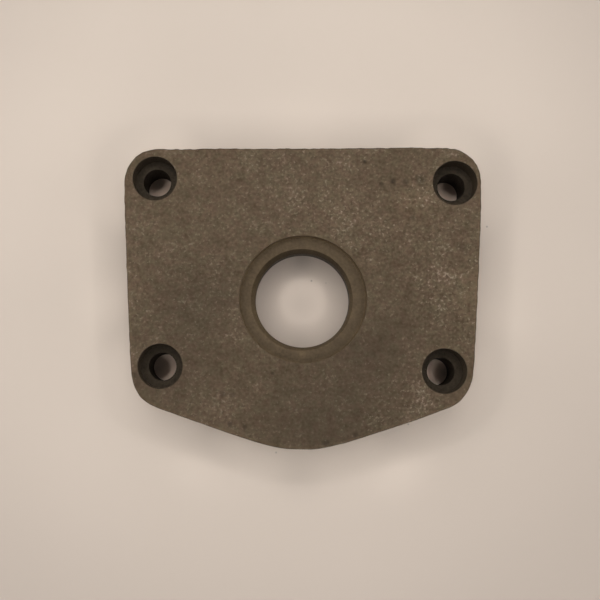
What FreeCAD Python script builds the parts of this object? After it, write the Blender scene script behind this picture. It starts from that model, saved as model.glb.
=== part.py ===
import FreeCAD, Part
import math
import os

# A thick cast iron cover plate for a gearbox. It has a house-shaped outline that points down, four
# holes for socket-head screws, and one stepped bore that a shaft passes through.
# Millimetres. The origin is on the bore's axis, on the machined back face. The plate lies on that
# face, +Z points out of the cast front face, +Y to the wide edge and -Y to the point.

# Plate outline, as the sharp corners would lie before they are rounded
plate_thickness = 32.0
wide_edge_width = 143.3
shoulder_width = 132.7
wide_edge_height = 59.9
shoulder_drop = 39.4
point_drop = 61.6
upper_corner_radius = 13.9
shoulder_radius = 17.2
point_radius = 57.9
cast_edge_radius = 0.9

# How far the rough casting lies off the machined holes
outline_turn_degrees = 0.6
outline_shift = -0.3
wide_edge_rise = 0.65

# Screws and the clearances round them
screw_diameter = 10.0
screw_clearance = 1.0
screw_head_diameter = 16.0
screw_head_clearance = 1.5
screw_head_height = 10.0
screw_head_sink = 0.8

# Screw positions, measured in from the sides, the wide edge and the shoulders
screw_side_margin = 11.55
upper_screw_margin = 12.9
lower_screw_margin = 12.2

# Stepped bore, from the front face down: a flat recess, a coned lead-in, the lip's land and then
# the wider seat that is open at the back
recess_diameter = 50.1
recess_depth = 5.0
lead_in_width = 1.5
lead_in_depth = 2.6
shaft_bore_diameter = 37.5
land_length = 8.2
seat_diameter = 52.0

# Small bevel on each machined mouth in the front face
mouth_bevel = 0.3

# Length by which a cutting shape stands out of the plate
cutter_overrun = 5.0


# Point of the casting's outline, turned and shifted against the machined holes
def cast_point(x, y):
    turn = math.radians(outline_turn_degrees)
    turned_x = x * math.cos(turn) - y * math.sin(turn)
    turned_y = x * math.sin(turn) + y * math.cos(turn)
    return FreeCAD.Vector(turned_x + outline_shift, turned_y, 0)


# Five sharp corners, counterclockwise from the upper right, each with its radius
def outline_corners():
    half_wide_edge = wide_edge_width / 2
    half_shoulder = shoulder_width / 2
    return [
        (cast_point(half_wide_edge, wide_edge_height + wide_edge_rise), upper_corner_radius),
        (cast_point(-half_wide_edge, wide_edge_height - wide_edge_rise), upper_corner_radius),
        (cast_point(-half_shoulder, -shoulder_drop), shoulder_radius),
        (cast_point(0, -point_drop), point_radius),
        (cast_point(half_shoulder, -shoulder_drop), shoulder_radius),
    ]


# Start, middle and end of the arc that rounds one corner, tangent to both of its sides
def corner_arc(before, corner, after, radius):
    to_before = (before - corner).normalize()
    to_after = (after - corner).normalize()
    half_angle = to_before.getAngle(to_after) / 2
    run = radius / math.tan(half_angle)
    inward = (to_before + to_after).normalize()
    centre = corner + inward * (radius / math.sin(half_angle))
    return corner + to_before * run, centre - inward * radius, corner + to_after * run


# Closed wire of straight sides joined by tangent arcs
def rounded_wire(corners):
    count = len(corners)
    arcs = []
    for index, (corner, radius) in enumerate(corners):
        before = corners[index - 1][0]
        after = corners[(index + 1) % count][0]
        arcs.append(corner_arc(before, corner, after, radius))
    edges = []
    for index, (start, middle, end) in enumerate(arcs):
        next_start = arcs[(index + 1) % count][0]
        edges.append(Part.Arc(start, middle, end).toShape())
        edges.append(Part.LineSegment(end, next_start).toShape())
    return Part.Wire(edges)


# Solid block of the outline, its front edge rounded as a casting's is
def plate_block():
    face = Part.Face(rounded_wire(outline_corners()))
    block = face.extrude(FreeCAD.Vector(0, 0, plate_thickness))
    front_edges = [edge for edge in block.Edges if edge.BoundBox.ZMin > plate_thickness / 2]
    return block.makeFillet(cast_edge_radius, front_edges)


# Solid of revolution about +Z from a closed profile of (radius, height) points
def turned_solid(profile):
    points = [FreeCAD.Vector(radius, 0, height) for radius, height in profile]
    face = Part.Face(Part.makePolygon(points + points[:1]))
    return face.revolve(FreeCAD.Vector(0, 0, 0), FreeCAD.Vector(0, 0, 1), 360)


# Profile points of a bevelled mouth in the front face, up to where the cutting shape ends
def bevelled_mouth(radius):
    top = plate_thickness + cutter_overrun
    return [
        (radius, plate_thickness - mouth_bevel),
        (radius + mouth_bevel + cutter_overrun, top),
        (0, top),
    ]


# Room for one socket-head screw: a through hole and the counterbore that sinks its head
def screw_room():
    hole_radius = (screw_diameter + screw_clearance) / 2
    head_radius = (screw_head_diameter + screw_head_clearance) / 2
    head_floor = plate_thickness - screw_head_height - screw_head_sink
    profile = [
        (0, -cutter_overrun),
        (hole_radius, -cutter_overrun),
        (hole_radius, head_floor),
        (head_radius, head_floor),
    ]
    return turned_solid(profile + bevelled_mouth(head_radius))


# The stepped bore, from the open seat at the back to the recess at the front
def bore_room():
    recess_floor = plate_thickness - recess_depth
    land_top = recess_floor - lead_in_depth
    seat_floor = land_top - land_length
    bore_radius = shaft_bore_diameter / 2
    profile = [
        (0, -cutter_overrun),
        (seat_diameter / 2, -cutter_overrun),
        (seat_diameter / 2, seat_floor),
        (bore_radius, seat_floor),
        (bore_radius, land_top),
        (bore_radius + lead_in_width, recess_floor),
        (recess_diameter / 2, recess_floor),
    ]
    return turned_solid(profile + bevelled_mouth(recess_diameter / 2))


# Half of the plate's width at a height above the bore's axis, between the sloping sides
def half_width_at(height):
    share = (height + shoulder_drop) / (wide_edge_height + shoulder_drop)
    return (shoulder_width + share * (wide_edge_width - shoulder_width)) / 2


# Centres of the four screws
def screw_centres():
    centres = []
    for height in (wide_edge_height - upper_screw_margin, lower_screw_margin - shoulder_drop):
        reach = half_width_at(height) - screw_side_margin
        centres.append(FreeCAD.Vector(-reach, height, 0))
        centres.append(FreeCAD.Vector(reach, height, 0))
    return centres


# The whole plate
def cover_plate():
    plate = plate_block().cut(bore_room())
    for centre in screw_centres():
        plate = plate.cut(screw_room().translated(centre))
    return plate.removeSplitter()


os.makedirs("parts", exist_ok=True)
plate = cover_plate()
print("cover_plate", plate.isValid(), len(plate.Solids), "solid", round(plate.Volume / 1000, 1), "cm3")
plate.exportStep("parts/cover_plate.step")
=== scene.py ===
import math

import bpy
import numpy as np
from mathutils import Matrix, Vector


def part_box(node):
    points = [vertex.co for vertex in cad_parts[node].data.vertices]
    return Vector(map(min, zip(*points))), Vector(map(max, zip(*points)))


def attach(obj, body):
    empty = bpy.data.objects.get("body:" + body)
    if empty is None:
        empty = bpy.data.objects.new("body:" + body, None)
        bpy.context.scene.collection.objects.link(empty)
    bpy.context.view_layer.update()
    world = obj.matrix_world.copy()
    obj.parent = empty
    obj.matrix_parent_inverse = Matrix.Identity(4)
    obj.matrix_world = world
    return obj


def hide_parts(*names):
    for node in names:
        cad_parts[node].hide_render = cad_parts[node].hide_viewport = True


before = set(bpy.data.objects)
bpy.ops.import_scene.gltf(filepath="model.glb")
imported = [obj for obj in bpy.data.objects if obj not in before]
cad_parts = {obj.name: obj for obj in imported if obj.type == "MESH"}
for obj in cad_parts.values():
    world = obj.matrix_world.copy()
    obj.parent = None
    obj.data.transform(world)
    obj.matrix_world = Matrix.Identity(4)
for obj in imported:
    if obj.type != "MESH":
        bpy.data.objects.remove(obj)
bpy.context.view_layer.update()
cadLow, cadHigh = [np.array(corner) * 1000 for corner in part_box("cover_plate")]
print("frame loaded, plate", np.round(cadHigh - cadLow, 2), "mm")


# Shader sockets

# One socket of a shader tree. Plus, minus and times on it add Math nodes.
class Wire:

    def __init__(self, tree, socket=None):
        self.tree = tree
        self.socket = socket

    # Any node: its settings are set first, then every socket takes a number, a colour or a wire
    def node(self, kind, settings=None, sockets=None, output=0):
        made = self.tree.nodes.new(kind)
        for name, value in (settings or {}).items():
            setattr(made, name, value)
        for name, value in (sockets or {}).items():
            if isinstance(value, Wire):
                self.tree.links.new(value.socket, made.inputs[name])
            else:
                made.inputs[name].default_value = value
        return Wire(self.tree, made.outputs[output] if made.outputs else None)

    def math(self, operation, first, second):
        return self.node("ShaderNodeMath", {"operation": operation}, {0: first, 1: second})

    def __add__(self, other):
        return self.math("ADD", self, other)

    def __sub__(self, other):
        return self.math("SUBTRACT", self, other)

    def __rsub__(self, other):
        return self.math("SUBTRACT", other, self)

    def __mul__(self, other):
        return self.math("MULTIPLY", self, other)

    __radd__ = __add__
    __rmul__ = __mul__


# Whole numbers that scramble a lattice cell into a value
scramble = {"shift": 4096, "axes": (73856093, 19349663, 83492791), "seed": 2654435, "mix": 1274126177}


# Smooth 3-D noise from -1 to 1: a hashed value at each corner of a point's lattice cell, blended by
# the smooth step 3t^2 - 2t^3 along each axis
def smoothNoise(points, wavelength, seed):
    cell = points / wavelength
    low = np.floor(cell)
    step = cell - low
    step = step * step * (3 - 2 * step)
    low = low.astype(np.int64)
    alongX, alongY, alongZ = scramble["axes"]
    total = np.zeros(len(points))
    for corner in np.ndindex(2, 2, 2):
        key = (low + corner + scramble["shift"]).astype(np.uint64)
        mixed = key[:, 0] * alongX ^ key[:, 1] * alongY ^ key[:, 2] * alongZ
        mixed = mixed ^ np.uint64(seed * scramble["seed"])
        mixed = (mixed ^ (mixed >> np.uint64(13))) * np.uint64(scramble["mix"]) & np.uint64(0xFFFFFFFF)
        value = ((mixed ^ (mixed >> np.uint64(16))) & np.uint64(0xFFFF)).astype(float) / 32767.5 - 1
        total += value * np.prod(np.where(corner, step, 1 - step), axis=1)
    return total


# The rough casting, in millimetres. Corners are the sharp points before rounding, each with the
# radius that rounds it.
castShape = {
    "corners": [(70.71, 61.30, 13.9), (-72.57, 58.50, 13.9), (-66.23, -40.09, 17.2),
                (0.35, -61.60, 57.9), (66.46, -38.70, 17.2)],
    "arcPoints": 60,           # points on each corner's arc
    "chordReach": 0.2,         # half of the chord that gives the outline's normal
    "outlineStep": 0.83,       # between points round the outline and across the front face
    "borderTries": 8001,       # places tried round the outline for where one hole's share ends
    "frontRounding": 0.9,
    "roundingRows": 5,
    "wallRows": 30,
    "smoothRows": 3,           # rows at the back edge that have no skin
    "backRounding": 0.35,
    "backBevel": 0.3,          # of the back rounding
    "backRings": (0.33, 0.67),
    "boxGap": 0.01,            # how far the casting stays inside the CAD's box
    # degrees round the bore, and how far the edge there stands out of its straight lines
    "edgeMarks": [(10, 0.12), (28, 0), (34, -0.5), (38, -0.16), (46, -0.16), (53, 0.14), (66, 0.05),
                  (84, -0.11), (100, 0), (122, 0.11), (132, -0.12), (140, 0.4), (148, -0.24), (154, 0),
                  (178, 0.08), (198, -0.04), (204, -0.29), (212, 0.5), (217, 0), (226, 0.18), (244, 0.2),
                  (256, -0.02), (268, 0.12), (276, 0.05), (283, -0.27), (294, -0.06), (314, 0),
                  (323, -0.46), (328, -0.1), (336, -0.34), (341, -0.1), (350, 0.07)],
    "edgeStandsOut": 0.21,
    "marksAtBack": 0.4,        # share of them that is left at the back
    # wavelength and depth of the unevenness of the skin
    "skinWaves": [(14.0, 0.10), (5.5, 0.07), (2.4, 0.055)],
    "skinSeed": 11,
    # raggedness of the front edge: wavelength, depth, and how far down the wall it reaches
    "ragged": (1.7, 0.3, 4.0),
    "raggedSeed": 31,
    # its share on the sides, how much more it is on the wide edge, and its least on the lower sides
    "raggedSides": (0.55, 0.45, 0.2),
    "paintedEdgeLight": 0.3,          # painted light: how much lighter the edge's rounding is drawn on the lower sides, where little lamp light reaches it
    "edgeLightFrom": 0.5,      # where the normal's y is below this
    # lighter and darker areas of the skin, partly real stains and partly painted sheen and shade: x, y,
    # radius, share
    "stainsAndSheen": [(8, -50, 32, -0.28), (-44, -2, 22, -0.18), (32, -18, 20, -0.16), (70, 2, 12, 0.3),
               (46, 42, 9, 0.12), (-68, 4, 9, 0.1), (-20, 38, 22, -0.05), (-30, 60, 12, 0.06),
               (12, 38, 10, 0.06), (-50, -32, 16, -0.2), (42, 38, 8, 0.12), (56, -5, 8, -0.08),
               (-42, -4, 10, -0.07), (-29, 0, 6, -0.07), (20, -20, 7, -0.08)],
    # areas with more or fewer light flecks, partly real flecks and partly painted glints of sheen: x, y,
    # radius, share
    "fleckAndGlintAreas": [(62, 10, 26, 0.5), (26, 32, 16, 0.45), (46, 43.5, 6, 1.3), (64, -8, 8, 0.5),
                   (46.3, -40, 7, 1.2), (29, -46, 5, 0.9), (10.6, 35.4, 6, 0.7), (22, 21, 4, 1.0),
                   (-5, 27, 4, 1.0), (-1, 37, 4, 0.8), (-36, 9.5, 5, 0.9), (52, -0.5, 6, 0.9),
                   (5, -44, 26, -0.6), (32, -12, 16, -0.5), (-52, 30, 24, -0.3), (-30, 34, 14, -0.3),
                   (-50, -30, 16, -0.5), (-44, -8, 16, -0.3)],
}

# Machined holes: centre, flat rings round the mouth, finish, and the turned profile of (radius,
# height, tone) from the front to the back, where tone is painted light and shade: how much lighter or darker
# the metal is drawn there
screwProfile = [(8.87, 32.0, 1.0), (8.75, 31.88, 1.7), (8.75, 29.5, 2.2), (8.75, 26.5, 2.4),
                (8.75, 23.5, 2.3), (8.75, 21.35, 1.9), (8.6, 21.2, 1.4), (7.0, 21.2, 1.4),
                (5.6, 21.2, 1.4), (5.5, 21.1, 1.2), (5.5, 17.0, 1.0), (5.5, 12.0, 0.9),
                (5.5, 7.0, 0.9), (5.5, 0.3, 0.9), (5.8, 0.0, 1.0)]
boreProfile = [(25.2, 32.0, 1.0), (25.05, 31.85, 1.2), (25.05, 30.5, 1.4), (25.05, 28.8, 1.55),
               (25.05, 27.3, 1.45), (24.75, 27.0, 1.3), (23.6, 27.0, 1.0), (22.4, 27.0, 1.0),
               (21.3, 27.0, 1.05), (20.22, 27.0, 1.2), (20.12, 26.85, 1.35), (19.9, 26.35, 1.4),
               (18.8, 24.5, 1.35), (18.75, 24.3, 1.0), (18.75, 20.5, 0.6), (18.75, 16.3, 0.5),
               (18.85, 16.2, 1.0), (22.0, 16.2, 1.0), (26.0, 16.2, 1.0), (26.0, 12.0, 1.0),
               (26.0, 6.0, 1.0), (26.0, 0.4, 1.0), (26.4, 0.0, 1.0)]
# For some rows of a profile: the row's shift in x and y, and how much painted shade darkens it to the north.
# The coned lead-in sits a little off the bore's axis.
boreRows = {9: (-0.34, 0.12, 0.1), 10: (-0.34, 0.12, 0.6), 11: (-0.3, 0.1, 0.72), 12: (0, 0, 0.78),
            13: (0, 0, 0.72), 14: (0, 0, 0.3)}
screwRows = {2: (0, 0, 1.0), 3: (0, 0, 0.95), 4: (0, 0, 0.7), 5: (0, 0, 0.3), 6: (0, 0, 0.35),
             7: (0, 0, 0.12)}
northFall = 1.4                # how fast that shade sets in from the sides to the north
# lighter and darker areas in the bore, partly smudges and partly painted light and shade, as on the skin
boreStainsAndShade = [(-20, 0, 3.5, -0.1), (0.5, -21.6, 1.6, 0.35), (3, -23, 10, -0.1), (16, -16, 5, -0.06),
              (-16, -16, 5, 0.05)]
holes = [{"centre": (0.0, 0.0), "rings": 36, "profile": boreProfile, "finish": 1, "rows": boreRows}]
holes += [{"centre": centre, "rings": 38, "profile": screwProfile, "finish": 2, "rows": screwRows}
          for centre in ((59.41, 47.0), (-59.41, 47.0), (-55.45, -27.2), (55.45, -27.2))]
sidePairs = ((1, (1, 4)), (-1, (2, 3)))    # sign of x, then its upper and its lower hole
holeCentres = np.array([hole["centre"] for hole in holes])
holeRims = np.array([hole["profile"][0][0] for hole in holes])


# Rounded outline: each corner's arc sweeps from the normal of the side before to that of the side
# after, and straight sides join the arcs. Gives its points and the distance along it to each.
def roundedOutline(corners):
    points = np.array([corner[:2] for corner in corners])
    sides = np.roll(points, -1, axis=0) - points
    facing = np.arctan2(-sides[:, 0], sides[:, 1])
    arcs = []
    for index, (x, y, radius) in enumerate(corners):
        first, last = facing[index - 1], facing[index]
        last = first + (last - first) % (2 * math.pi)
        middle, spread = (first + last) / 2, (last - first) / 2
        inward = np.array([math.cos(middle), math.sin(middle)])
        centre = np.array([x, y]) - radius / math.cos(spread) * inward
        angle = np.linspace(first, last, castShape["arcPoints"])
        arcs.append(centre + radius * np.column_stack([np.cos(angle), np.sin(angle)]))
    line = np.vstack(arcs + [arcs[0][:1]])
    run = np.concatenate([[0], np.cumsum(np.hypot(*np.diff(line, axis=0).T))])
    return line, run


# Point of the outline at a distance along it, joined straight between the outline's points
def placeAt(line, run, along):
    return np.column_stack([np.interp(along % run[-1], run, line[:, axis]) for axis in (0, 1)])


# Point of the outline at a distance along it, and its outward normal, at right angles to a chord
def outlineAt(line, run, along):
    reach = castShape["chordReach"]
    chord = placeAt(line, run, along + reach) - placeAt(line, run, along - reach)
    chord /= np.hypot(*chord.T)[:, None]
    return placeAt(line, run, along), np.column_stack([chord[:, 1], -chord[:, 0]])


# How far the casting's edge stands out at each angle: the marks, joined straight round the plate
def edgeOffset(place):
    angle = np.degrees(np.arctan2(place[:, 1], place[:, 0])) % 360
    marks = np.array(castShape["edgeMarks"])
    return castShape["edgeStandsOut"] + np.interp(angle, marks[:, 0], marks[:, 1], period=360)


# Which hole owns a place: the smallest of distance squared less rim radius squared
def ownership(place):
    return ((place[:, None] - holeCentres) ** 2).sum(axis=2) - holeRims ** 2


# The front face is shared out between the holes. This lays the points on the shares' borders: first
# those along the outline, then the meeting point on each side, then the lines that join them.
def shareOut(line, run):
    dense = np.linspace(0, run[-1], castShape["borderTries"])
    power = ownership(outlineAt(line, run, dense)[0])
    owner = power.argmin(axis=1)
    gates = []
    for at in np.flatnonzero(owner[1:] != owner[:-1]):
        before, after = owner[at], owner[at + 1]
        gap = power[at:at + 2, before] - power[at:at + 2, after]
        gates.append((dense[at] + (dense[at + 1] - dense[at]) * gap[0] / (gap[0] - gap[1]), before, after))

    along, owners, gateRows = [], [], []
    for index, (start, before, after) in enumerate(gates):
        end = gates[(index + 1) % len(gates)][0] + (run[-1] if index == len(gates) - 1 else 0)
        count = int(round((end - start) / castShape["outlineStep"]))
        gateRows.append(sum(len(part) for part in along))
        along.append(start + (end - start) * np.arange(count) / count)
        share = np.zeros((count, len(holes)), bool)
        share[:, after] = True
        share[0, before] = True
        owners.append(share)
    along = np.concatenate(along)
    place = placeAt(line, run, along)

    # a meeting point has the same power to the bore and to both holes on its side
    level = (holeCentres ** 2).sum(axis=1) - holeRims ** 2
    meetings, links = [], []
    for side, (upper, lower) in sidePairs:
        pair = [upper, lower]
        meetings.append(np.linalg.solve(2 * holeCentres[pair], level[pair] - level[0]))
        share = np.zeros((1, len(holes)), bool)
        share[0, [0, upper, lower]] = True
        owners.append(share)
        for row, (start, before, after) in zip(gateRows, gates):
            if place[row, 0] * side > 0:
                links.append((row, len(meetings) - 1, before, after))
    counts = []
    for row, meeting, before, after in links:
        length = np.hypot(*(place[row] - meetings[meeting]))
        counts.append(int(round(length / castShape["outlineStep"])) - 1)
        share = np.zeros((counts[-1], len(holes)), bool)
        share[:, [before, after]] = True
        owners.append(share)
    return along, np.array(meetings), links, counts, np.vstack(owners)


# Places of all border points for one set of outline places: even steps on each joining line
def borderPlaces(outlinePlaces, meetings, links, counts):
    parts = [outlinePlaces, meetings]
    for (row, meeting, before, after), count in zip(links, counts):
        share = (np.arange(count) + 1)[:, None] / (count + 1)
        parts.append(outlinePlaces[row] + (meetings[meeting] - outlinePlaces[row]) * share)
    return np.vstack(parts)


# Depth of the skin below its flat: waves of smooth noise, all of them inward
def skinDepth(points):
    depth = np.zeros(len(points))
    for index, (wavelength, height) in enumerate(castShape["skinWaves"]):
        depth += height * (0.5 + 0.5 * smoothNoise(points, wavelength, castShape["skinSeed"] + index))
    return depth


# Sum of soft round areas, each its share times a bell curve of the distance over its radius
def softAreas(points, areas):
    total = np.zeros(len(points))
    for x, y, radius, share in areas:
        away = (points[:, 0] - x) ** 2 + (points[:, 1] - y) ** 2
        total += share * np.exp(-away / radius ** 2)
    return total


# Quads between two closed loops of points
def ringQuads(upper, lower):
    return np.column_stack([upper, lower, np.roll(lower, -1), np.roll(upper, -1)])


# Rows of the cast wall, from the front face to the back: how far each lies inside the outline, its
# height, and the slope of its normal. A quarter circle rounds the front edge and a small bevel the
# back one.
def wallProfile():
    top = cadHigh[2]
    rounding, backRounding = castShape["frontRounding"], castShape["backRounding"]
    bevel = castShape["backBevel"] * backRounding
    turn = np.linspace(0, math.pi / 2, castShape["roundingRows"])
    wall = np.linspace(top - rounding, backRounding, castShape["wallRows"])[1:]
    straight = np.zeros(len(wall))
    inset = np.concatenate([rounding * (1 - np.sin(turn)), straight, [bevel, backRounding]])
    height = np.concatenate([top - rounding * (1 - np.cos(turn)), wall, [bevel, 0]])
    slope = np.concatenate([math.pi / 2 - turn, straight, [0, 0]])
    return list(zip(inset, height, slope))


# One closed surface. Every hole carries its turned profile down from the front to the back, flat
# rings run out from its mouths to its share's border, and the outline carries the cast wall down.
def plateSurface():
    line, run = roundedOutline(castShape["corners"])
    along, meetings, links, counts, owners = shareOut(line, run)
    place, normal = outlineAt(line, run, along)
    offset = edgeOffset(place)
    top = cadHigh[2]
    blocks, facings, faces, finish, skin, tool, tone = [], [], [], [], [], [], []
    total = 0

    # Rows of new points with their normals, and what the finishes read there. Gives their numbers.
    def add(points, facing, skinShare, path=0, light=1.0):
        nonlocal total
        blocks.append(points)
        facings.append(facing)
        skin.append(np.full(len(points), skinShare))
        tool.append(np.full(len(points), path))
        tone.append(np.ones(len(points)) * light)
        total += len(points)
        return np.arange(total - len(points), total)

    # Rows of points that all lie at one height, with one upright normal
    def addFlat(flat, level, skinShare, upward=1.0, path=0, light=1.0):
        up = np.tile([0.0, 0.0, upward], (len(flat), 1))
        return add(np.column_stack([flat, np.full(len(flat), level)]), up, skinShare, path, light)

    rows = []
    border = []
    wall = wallProfile()
    atBack = castShape["marksAtBack"]
    for index, (inset, level, slope) in enumerate(wall):
        fade = atBack + (1 - atBack) * level / top
        flat = place + normal * (offset * fade - inset)[:, None]
        if index in (0, len(wall) - 1):
            front = 1.0 if index == 0 else 0.0
            flat = borderPlaces(flat, meetings, links, counts)
            ids = addFlat(flat, level, front, 2 * front - 1)
            border.append((ids, flat))
            rows.append(ids[:len(along)])
        else:
            onSkin = 1.0 if index < len(wall) - castShape["smoothRows"] else 0.0
            facing = np.column_stack([normal * math.cos(slope), np.full(len(normal), math.sin(slope))])
            rows.append(add(np.column_stack([flat, np.full(len(flat), level)]), facing, onSkin))
    for upper, lower in zip(rows[:-1], rows[1:]):
        faces.append(ringQuads(upper, lower))
        finish.append(np.zeros(len(upper), int))

    (frontIds, frontFlat), (backIds, backFlat) = border
    for number, hole in enumerate(holes):
        mine = np.flatnonzero(owners[:, number])
        centre = np.array(hole["centre"])
        away = frontFlat[mine] - centre
        angle = np.arctan2(away[:, 1], away[:, 0])
        order = np.argsort(angle)
        mine, angle = mine[order], angle[order]
        spoke = np.column_stack([np.cos(angle), np.sin(angle)])
        north = np.clip(northFall * spoke[:, 1], 0, 1)
        loops = [frontIds[mine]]
        finishes = []
        profile = hole["profile"]
        rim = centre + profile[0][0] * spoke
        for share in np.linspace(1, 0, hole["rings"] + 1)[1:]:
            loops.append(addFlat(rim + (frontFlat[mine] - rim) * share, top, 1.0))
            finishes.append(0)
        path = 0
        for row, (radius, level, light) in list(enumerate(profile))[1:]:
            path += math.hypot(radius - profile[row - 1][0], level - profile[row - 1][1])
            x, y, darker = hole["rows"].get(row, (0, 0, 0))
            # painted shade on the north side of these rows
            flat = centre + radius * spoke + (x, y)
            loops.append(addFlat(flat, level, 0.0, path=path, light=light - darker * north))
            finishes.append(hole["finish"])
        mouth = centre + profile[-1][0] * spoke
        for share in castShape["backRings"]:
            loops.append(addFlat(mouth + (backFlat[mine] - mouth) * share, 0.0, 0.0))
            finishes.append(1)
        loops.append(backIds[mine])
        finishes.append(1)
        for outer, inner, kind in zip(loops[:-1], loops[1:], finishes):
            faces.append(ringQuads(inner, outer))
            finish.append(np.full(len(outer), kind))

    points, facing = np.vstack(blocks), np.vstack(facings)
    skin, tool, tone = np.concatenate(skin), np.concatenate(tool), np.concatenate(tone)
    wavelength, deep, reach = castShape["ragged"]
    onWall = np.isin(np.arange(total), np.concatenate(rows))
    onEdge = onWall * np.clip(1 - (top - points[:, 2]) / reach, 0, 1)
    onSides, more, least = castShape["raggedSides"]
    ragged = deep * onEdge * smoothNoise(points, wavelength, castShape["raggedSeed"])
    ragged = ragged * np.clip(onSides + more * facing[:, 1], least, 1)
    # painted sheen, light and shade go into the tone here with the real stains and smudges
    tone = tone + np.where(skin > 0, softAreas(points, castShape["stainsAndSheen"]), softAreas(points, boreStainsAndShade))
    # painted light on the front edge's rounding where it faces the lower sides
    litSide = np.clip(castShape["edgeLightFrom"] - facing[:, 1], 0, 1)
    tone = tone + castShape["paintedEdgeLight"] * onEdge * skin * litSide
    flecksAndGlints = softAreas(points, castShape["fleckAndGlintAreas"])
    points = points - facing * (skin * (skinDepth(points) + ragged))[:, None]
    points = np.clip(points, cadLow + castShape["boxGap"], cadHigh - castShape["boxGap"])
    values = {"toolPath": tool, "tone": tone, "flecksAndGlints": flecksAndGlints}
    return points, np.vstack(faces), np.concatenate(finish), values


# Value at each point of a mesh, which its material reads by name
def setValue(mesh, name, value):
    mesh.attributes.new(name, "FLOAT", "POINT").data.foreach_set("value", value.astype(np.float32))


# Object from points in millimetres and quads, with the number of the material of each quad
def meshObject(name, points, faces, materials, finish):
    mesh = bpy.data.meshes.new(name)
    mesh.vertices.add(len(points))
    mesh.vertices.foreach_set("co", (points / 1000).ravel())
    mesh.loops.add(faces.size)
    mesh.loops.foreach_set("vertex_index", faces.ravel())
    mesh.polygons.add(len(faces))
    mesh.polygons.foreach_set("loop_start", np.arange(0, faces.size, faces.shape[1]))
    for material in materials:
        mesh.materials.append(material)
    mesh.polygons.foreach_set("material_index", finish)
    mesh.update(calc_edges=True)
    mesh.validate()
    made = bpy.data.objects.new(name, mesh)
    bpy.context.scene.collection.objects.link(made)
    return made


# Finishes

# Colour scaled by a number
def dimmed(colour, factor):
    return colour.node("ShaderNodeVectorMath", {"operation": "SCALE"}, {0: colour, "Scale": factor})


# Mix of two colours by a factor
def blended(factor, first, second):
    return factor.node("ShaderNodeMix", {"data_type": "RGBA"}, {"Factor": factor, 6: first, 7: second}, 2)


def noise(place, scale, detail, rough):
    return place.node("ShaderNodeTexNoise", {},
                      {"Vector": place, "Scale": scale, "Detail": detail, "Roughness": rough})


# A noise as a swing of this much to both sides of nothing
def swing(pattern, share):
    return share * (pattern - 0.5)


# From 0 to most as a value goes from start to end, by the smooth step 3t^2 - 2t^3
def smoothShare(value, start, end, most=1.0):
    return value.node("ShaderNodeMapRange", {"interpolation_type": "SMOOTHSTEP"},
                      {"Value": value, "From Min": start, "From Max": end, "To Max": most})


def distanceTo(place, centre):
    return place.node("ShaderNodeVectorMath", {"operation": "DISTANCE"}, {0: place, 1: centre}, 1)


# Value that the mesh carries at its points
def carried(start, name):
    return start.node("ShaderNodeAttribute", {"attribute_name": name}, output=2)


def bumped(height, distance):
    return height.node("ShaderNodeBump", {}, {"Strength": 1.0, "Distance": distance, "Height": height})


# Tone changed at each spot by its share, which fades smoothly from its middle fifth to its radius
def spotted(place, tone, spots, level):
    for x, y, radius, share in spots:
        away = distanceTo(place, (x / 1000, y / 1000, level / 1000))
        tone = smoothShare(away, radius / 1000, radius / 5000, share) + tone
    return tone


# Empty material, a wire to build its tree from, and each point's place on the object
def newFinish(name):
    material = bpy.data.materials.new(name)
    material.use_nodes = True
    material.node_tree.nodes.clear()
    start = Wire(material.node_tree)
    return material, start, start.node("ShaderNodeTexCoord", output=3)


# The material's surface from the sockets of a Principled node
def surfaced(material, start, sockets):
    surface = start.node("ShaderNodeBsdfPrincipled", {}, sockets)
    start.node("ShaderNodeOutputMaterial", {}, {"Surface": surface})
    return material


skinFinish = {
    "dark": (0.0533, 0.0361, 0.0202, 1),
    "light": (0.1125, 0.0822, 0.0520, 1),
    "fleck": (0.20, 0.160, 0.118, 1),
    "redder": (1.045, 0.975, 0.985, 1),
    "greener": (0.97, 1.005, 0.96, 1),
    # noises: grains per metre, detail, roughness
    "patterns": {"grain": (840.0, 1.5, 0.5), "coarse": (378.0, 2.0, 0.5), "specks": (781.2, 2.0, 0.6),
                 "patch": (160.0, 2.0, 0.5), "broad": (38.0, 3.0, 0.6), "hue": (110.0, 2.0, 0.5),
                 "fineHue": (400.0, 2.0, 0.5)},
    "middleTone": 0.46,
    "toneSwing": {"grain": 1.25, "coarse": 0.65, "patch": 0.5, "broad": 0.6},
    "fleckSwing": {"patch": 0.3, "broad": 0.3},
    "fleckSpan": (0.54, 0.86),             # noise at which a fleck starts, and at which it is full
    "fleckAmount": 0.9,
    "inFleckAndGlintAreas": {"grain": 0.35, "specks": 0.03, "amount": 0.5},    # how much more of each there
    "hueSwing": {"hue": 1.4, "fineHue": 3.2},
    "bump": 0.00014,
    "bumpShares": {"coarse": 1.8, "patch": 1.5},
    "roughness": 0.62,
    "roughnessSwing": 0.25,
    "metallic": 0.1,
    "specular": 0.12,
    # small spots on the front face: x, y, radius in millimetres, and how much lighter or darker
    "spots": [(23.6, 54.9, 1.2, -0.6), (30.3, 46.1, 1.4, -0.45), (34.9, 47.2, 1.7, -0.6),
              (39.8, 46.9, 2.2, -0.36), (45.6, 47.8, 3.4, -0.34), (42.6, 33.0, 1.5, -0.3),
              (-30.6, -37.5, 1.8, -0.3), (-26.8, -37.9, 1.8, -0.22), (-27.7, -49.1, 1.6, -0.4),
              (-22.0, -50.1, 1.4, -0.35), (9.7, -55.9, 2.2, -0.3), (21.1, -52.4, 1.6, -0.3),
              (-64.8, -31.0, 2.4, -0.26), (-64.3, -34.2, 2.2, -0.2), (62.5, 21.0, 3.0, -0.16),
              (60.5, 5.5, 3.0, -0.13), (-11.5, -29.2, 1.0, -0.4)],
}


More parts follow.
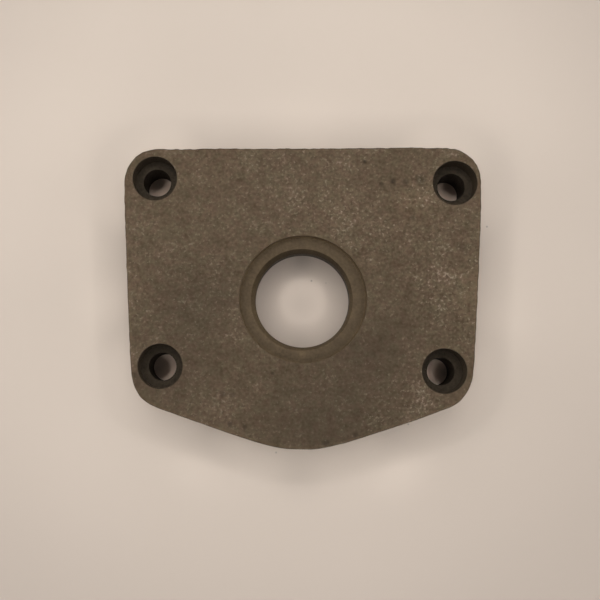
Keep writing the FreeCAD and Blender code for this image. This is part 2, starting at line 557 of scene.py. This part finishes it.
def castSkin():
    material, start, place = newFinish("castSkin")
    grain, coarse, specks, patch, broad, hue, fineHue = [
        noise(place, *values) for values in skinFinish["patterns"].values()]
    light = carried(start, "tone")
    more = carried(start, "flecksAndGlints")
    swings, extra = skinFinish["toneSwing"], skinFinish["inFleckAndGlintAreas"]
    speckle = swing(grain, swings["grain"]) + swing(coarse, swings["coarse"])
    tone = skinFinish["middleTone"] + speckle * (1 + extra["grain"] * more)
    tone = tone + swing(patch, swings["patch"]) + swing(broad, swings["broad"])
    colour = blended(tone, skinFinish["dark"], skinFinish["light"])
    swings = skinFinish["fleckSwing"]
    raised = specks + swing(patch, swings["patch"]) + swing(broad, swings["broad"])
    # light flecks, partly the iron's own grains and partly painted glints, denser in the glint areas
    flecksAndGlints = smoothShare(raised + extra["specks"] * more, *skinFinish["fleckSpan"])
    amount = skinFinish["fleckAmount"] + extra["amount"] * more
    colour = blended(flecksAndGlints * amount, colour, skinFinish["fleck"])
    swings = skinFinish["hueSwing"]
    drift = 0.5 + swing(hue, swings["hue"]) + swing(fineHue, swings["fineHue"])
    tint = blended(drift, skinFinish["redder"], skinFinish["greener"])
    colour = colour.node("ShaderNodeVectorMath", {"operation": "MULTIPLY"}, {0: colour, 1: tint})
    # the carried tone holds real stains, painted sheen and shade, and the painted light on the lower edges
    colour = dimmed(colour, spotted(place, light, skinFinish["spots"], cadHigh[2]))
    shares = skinFinish["bumpShares"]
    height = grain + shares["coarse"] * coarse + shares["patch"] * patch
    return surfaced(material, start, {
        "Base Color": colour,
        "Roughness": skinFinish["roughness"] - swing(coarse, skinFinish["roughnessSwing"]),
        "Metallic": skinFinish["metallic"],
        "Specular IOR Level": skinFinish["specular"],
        "Normal": bumped(height, skinFinish["bump"])})


# What both machined finishes share. The tool's marks follow its path down the turned profile.
machinedFinish = {
    "patterns": {"mottle": (260.0, 3.0, 0.6), "fine": (1000.0, 2.0, 0.5)},
    "toneSwing": 1.6,
    "feedMarks": 26.0,         # radians of their sine to a millimetre of the path
    "markShare": 0.25,
    "bump": 0.00003,
    "roughnessSwing": 0.3,
}
boreFinish = {
    "dark": (0.052, 0.0350, 0.0185, 1),
    "light": (0.092, 0.0650, 0.0370, 1),
    "roughness": 0.58,
    "metallic": 0.15,
    "specular": 0.14,
}
screwHoleFinish = {
    "dark": (0.0192, 0.0142, 0.0090, 1),
    "light": (0.0400, 0.0304, 0.0206, 1),
    "roughness": 0.55,
    "metallic": 0.1,
    "specular": 0.06,
}


def machinedIron(name, look):
    material, start, place = newFinish(name)
    mottle, fine = [noise(place, *values) for values in machinedFinish["patterns"].values()]
    either = machinedFinish["toneSwing"]
    tone = 0.5 + swing(mottle, either) + swing(fine, either)
    # the carried tone holds the profile's painted light and shade and the bore's smudges and painted shade
    colour = dimmed(blended(tone, look["dark"], look["light"]), carried(start, "tone"))
    along = carried(start, "toolPath")
    marks = along.math("SINE", along * machinedFinish["feedMarks"], 0.0)
    height = machinedFinish["markShare"] * marks + fine
    return surfaced(material, start, {
        "Base Color": colour,
        "Roughness": look["roughness"] + swing(mottle, machinedFinish["roughnessSwing"]),
        "Metallic": look["metallic"],
        "Specular IOR Level": look["specular"],
        "Normal": bumped(height, machinedFinish["bump"])})


# The plate
sharpFrom = 32                 # degrees between faces at which an edge stays sharp
points, faces, finish, values = plateSurface()
materials = [castSkin(), machinedIron("boreIron", boreFinish), machinedIron("screwHoleIron", screwHoleFinish)]
coverPlate = meshObject("coverPlateCasting", points, faces, materials, finish)
mesh = coverPlate.data
for name, value in values.items():
    setValue(mesh, name, value)
mesh.polygons.foreach_set("use_smooth", np.ones(len(mesh.polygons), bool))
mesh.set_sharp_from_angle(angle=math.radians(sharpFrom))
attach(coverPlate, "root")
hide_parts("cover_plate")
print("plate", len(points), "points", len(faces) * 2, "triangles")


# Paper floor. Areas, marks and specks are x, y, radius in millimetres, and share.
floorFinish = {
    "level": -0.05,
    "step": 2.0,
    "fineReach": 110.0,
    "farSteps": (200.0, 400.0, 900.0),
    "colour": (0.645, 0.553, 0.474, 1),
    "outer": (0.548, 0.468, 0.404, 1),     # painted light falloff: the paper's tone far from the plate, where less lamp light falls
    "centre": (-0.02, 0.05, 0.0),
    "spread": (0.09, 0.21),                # metres from the centre over which the tone changes
    "warmShadeTint": (0.67, 0.50, 0.39, 1),        # painted warm light in the shade, most of it under the screw holes and in the bore
    "marks": [(59.4, 47.0, 12.0, 1.0), (-59.4, 47.0, 12.0, 1.0), (-55.4, -27.2, 12.0, 1.0),
              (55.4, -27.2, 12.0, 1.0), (0.0, 0.0, 60.0, 0.14)],
    "specks": [(4.2, 10.1, 0.6, -0.45), (10.3, 9.3, 0.5, -0.2), (77.7, 34.2, 0.6, -0.4),
               (-9.5, -61.5, 0.6, -0.35), (45.1, -48.9, 0.6, -0.4)],
    # painted light beside the plate, which weakens its shadow: lighter by a share, in full up to the near
    # distance, gone at the far one
    "besidePlate": (0.15, 6.0, 21.0),
    # painted light and shade: lighter and darker areas in the bore, beside the plate, and further out
    "areas": [(0, 0, 22, 0.17), (0, 0, 8, -0.19), (0, 17, 6, -0.17), (0, 19.5, 3.5, -0.14),
              (0, -15, 6, -0.13), (0, -68, 10, -0.13), (40, -62, 14, 0.16), (-42, -62, 14, 0.09),
              (78, -5, 14, 0.11), (-78, 0, 11, 0.11), (-105, 0, 22, -0.035), (74, 62, 14, -0.09),
              (-76, 60, 14, -0.08), (0, 70, 16, 0.06), (-40, 110, 45, -0.035), (-125, 118, 35, -0.03),
              (30, -115, 50, 0.03), (120, 0, 40, 0.03)],
    # painted light and shade under the screw holes: darker outwards and lighter inwards
    "underScrews": [(60.5, 50.5, 3.5, -0.45), (-60.5, 50.5, 3.5, -0.45), (-59.5, -27.5, 3.5, -0.3),
                    (60.2, -27.5, 3.3, -0.6), (-58, 43.5, 3, 0.55), (57, 44, 3.5, 0.35),
                    (-53.5, -30, 3, 0.35), (-55.5, -31.5, 2.5, 0.4), (53.5, -28.7, 3.5, 0.35)],
    "fade": (0.2, 0.65),                   # metres over which it fades to the backdrop's tone
    "fadesTo": (0.38, 0.335, 0.285, 1),
    "roughness": 0.85,
    "specular": 0.2,
}


def paper():
    material, start, place = newFinish("palePaper")
    away = distanceTo(place, floorFinish["centre"])
    # painted light falloff: the paper darkens away from the plate's centre
    share = smoothShare(away, *floorFinish["spread"])
    colour = blended(share, floorFinish["colour"], floorFinish["outer"])
    # painted warm light in the shade under the screw holes and in the bore
    colour = blended(spotted(place, 0.0, floorFinish["marks"], 0.0), colour, floorFinish["warmShadeTint"])
    # the carried tone holds the painted light and shade beside and under the plate; the specks are the
    # paper's own
    colour = dimmed(colour, spotted(place, carried(start, "tone"), floorFinish["specks"], 0.0))
    glow = blended(smoothShare(away, *floorFinish["fade"]), (0, 0, 0, 1), floorFinish["fadesTo"])
    return surfaced(material, start, {
        "Base Color": colour,
        "Roughness": floorFinish["roughness"],
        "Specular IOR Level": floorFinish["specular"],
        "Emission Color": glow,
        "Emission Strength": 1.0})


# A flat grid, fine near the plate. Painted light beside the plate weakens its shadow: there the paper
# is lighter by share times 3t^2 - 2t^3, where t runs from 1 at the near distance to 0 at the far one.
def paperFloor():
    reach, step = floorFinish["fineReach"], floorFinish["step"]
    far = np.array(floorFinish["farSteps"])
    steps = np.concatenate([-far[::-1], np.arange(-reach, reach + step / 2, step), far])
    x, y = np.meshgrid(steps, steps)
    points = np.column_stack([x.ravel(), y.ravel(), np.full(x.size, floorFinish["level"])])
    ids = np.arange(x.size).reshape(x.shape)
    corners = (ids[:-1, :-1], ids[:-1, 1:], ids[1:, 1:], ids[1:, :-1])
    quads = np.column_stack([corner.ravel() for corner in corners])
    line = roundedOutline(castShape["corners"])[0]
    away = np.sqrt(((points[:, None, :2] - line) ** 2).sum(axis=2)).min(axis=1)
    share, near, gone = floorFinish["besidePlate"]
    t = np.clip((gone - away) / (gone - near), 0, 1)
    tone = 1 + share * t * t * (3 - 2 * t)
    # painted light and shade in the bore, beside the plate and under the screw holes
    tone = tone + softAreas(points, floorFinish["areas"] + floorFinish["underScrews"])
    made = meshObject("paperFloor", points, quads, [paper()], np.zeros(len(quads), int))
    setValue(made.data, "tone", tone)
    return made


paperFloor()
print("floor laid")


# Light: a ring of small lamps in front of the lens, an arc outside it on the wide edge's side, and
# soft lamps further out. Places and sizes in metres, power in watts, angles in degrees.
lightPlan = {
    "ringCentre": (-0.0116, -0.0249, 0.399),
    "rings": [{"radius": 0.164, "lamps": 24, "first": 0.0, "span": 360.0, "size": 0.02, "power": 1.12},
              {"radius": 0.214, "lamps": 5, "first": 18.0, "span": 180.0, "size": 0.08, "power": 0.28}],
    "brightSide": 118.0,       # where round the ring its lamps are strongest
    "brightShare": 0.34,
    "softLamps": [{"place": (0.78, 0.0, 0.45), "size": 0.6, "power": 1.65},
                  {"place": (0.0, 0.78, 0.45), "size": 0.6, "power": 1.25},
                  {"place": (-0.78, 0.0, 0.45), "size": 0.6, "power": 1.75},
                  {"place": (0.05, -0.78, 0.45), "size": 0.6, "power": 1.05},
                  {"place": (0.0, 0.0, 1.2), "size": 1.2, "power": 1.2}],
    "roomStrength": 0.1,
    "backdrop": (0.66, 0.58, 0.5, 1),
}


# Round lamp that shines straight down, or towards what it is aimed at
def discLamp(place, size, power, aim=None):
    lamp = bpy.data.lights.new("softLamp", "AREA")
    lamp.shape = "DISK"
    lamp.size = size
    lamp.energy = power
    holder = bpy.data.objects.new("softLamp", lamp)
    holder.location = place
    if aim is not None:
        holder.rotation_euler = (Vector(aim) - Vector(place)).to_track_quat("-Z", "Y").to_euler()
    bpy.context.scene.collection.objects.link(holder)


for ring in lightPlan["rings"]:
    share = 1 / ring["lamps"]
    for index in range(ring["lamps"]):
        degrees = ring["first"] + ring["span"] * index * share
        angle = math.radians(degrees)
        lean = 1 + lightPlan["brightShare"] * math.cos(math.radians(degrees - lightPlan["brightSide"]))
        x, y, z = lightPlan["ringCentre"]
        place = (x + ring["radius"] * math.cos(angle), y + ring["radius"] * math.sin(angle), z)
        discLamp(place, ring["size"], ring["power"] * share * lean)
for lamp in lightPlan["softLamps"]:
    discLamp(lamp["place"], lamp["size"], lamp["power"], aim=(0, 0, 0))

# The room is dim for diffuse light. To the camera, in reflections and through glass it shows as a
# pale backdrop.
world = bpy.data.worlds.new("softRoom")
world.use_nodes = True
world.node_tree.nodes.clear()
rays = Wire(world.node_tree)
toCamera = rays.node("ShaderNodeLightPath")
toGlossy = rays.node("ShaderNodeLightPath", output=3)
throughGlass = rays.node("ShaderNodeLightPath", output=6)
shown = toCamera + toGlossy + throughGlass
room = rays.node("ShaderNodeBackground", {}, {
    "Color": lightPlan["backdrop"],
    "Strength": shown * (1 - lightPlan["roomStrength"]) + lightPlan["roomStrength"]})
rays.node("ShaderNodeOutputWorld", {}, {"Surface": room})
bpy.context.scene.world = world
bpy.context.scene.view_settings.view_transform = "Standard"
print("lights set")


# Camera: place in metres, turn in radians, lens and sensor in millimetres
cameraPlan = {
    "place": (-0.0112, -0.0348, 0.4894),
    "turn": (0.0952, 0.0132, 0.0174),
    "lens": 70.2,
    "sensor": 36,
    "shift": (0.0708, -0.0401),
}

cameraData = bpy.data.cameras.new("photoCamera")
cameraData.lens = cameraPlan["lens"]
cameraData.sensor_width = cameraPlan["sensor"]
cameraData.shift_x, cameraData.shift_y = cameraPlan["shift"]
camera = bpy.data.objects.new("photoCamera", cameraData)
camera.location = cameraPlan["place"]
camera.rotation_euler = cameraPlan["turn"]
bpy.context.scene.collection.objects.link(camera)
bpy.context.scene.camera = camera
